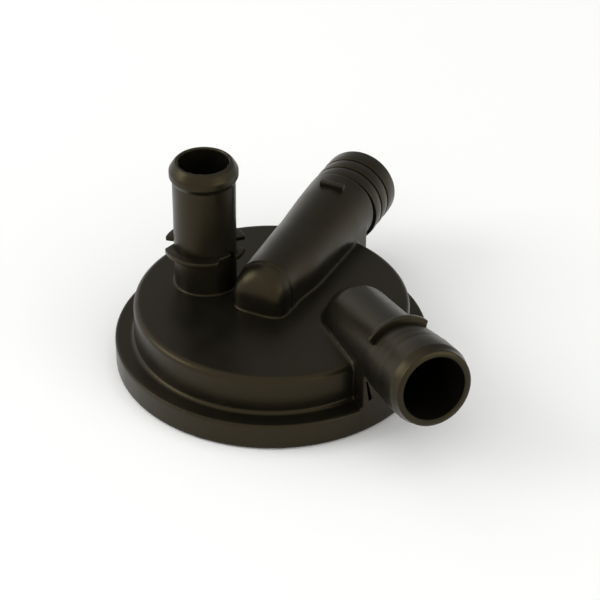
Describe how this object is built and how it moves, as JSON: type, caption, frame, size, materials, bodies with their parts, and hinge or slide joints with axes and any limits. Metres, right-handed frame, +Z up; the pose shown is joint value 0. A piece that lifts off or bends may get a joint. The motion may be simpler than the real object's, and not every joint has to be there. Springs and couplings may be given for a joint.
{
  "type": "crankcase ventilation valve",
  "caption": "Round moulded breather valve with a standing hose spigot, two side hose spigots and a spring-loaded diaphragm inside.",
  "frame": {"origin": "centre of the cover's flat underside", "axes": "+Z up along the valve's axis and the standing spigot, +Y along the grooved outlet, the standing spigot on the -X side"},
  "size_m": [0.1202, 0.1173, 0.0627],
  "materials": {
    "black_nylon": "moulded glass-filled nylon, satin",
    "diaphragm_rubber": "matt black oil-proof rubber",
    "natural_acetal": "moulded, natural white",
    "spring_steel": "drawn wire, bright"
  },
  "bodies": {
    "housing": {"upper_housing": "black_nylon", "lower_cover": "black_nylon", "diaphragm": "diaphragm_rubber", "spring": "spring_steel"},
    "valve_disc": {"diaphragm_plate": "natural_acetal", "plate_retainer": "natural_acetal"}
  },
  "joints": [
    {"name": "valve_slide", "type": "slide", "parent": "housing", "child": "valve_disc", "axis": [0, 0, 1], "range_m": [0, 0.0022], "stiffness_N_per_m": 300, "springref_m": -0.004, "deforming": ["spring", "diaphragm"]}
  ]
}
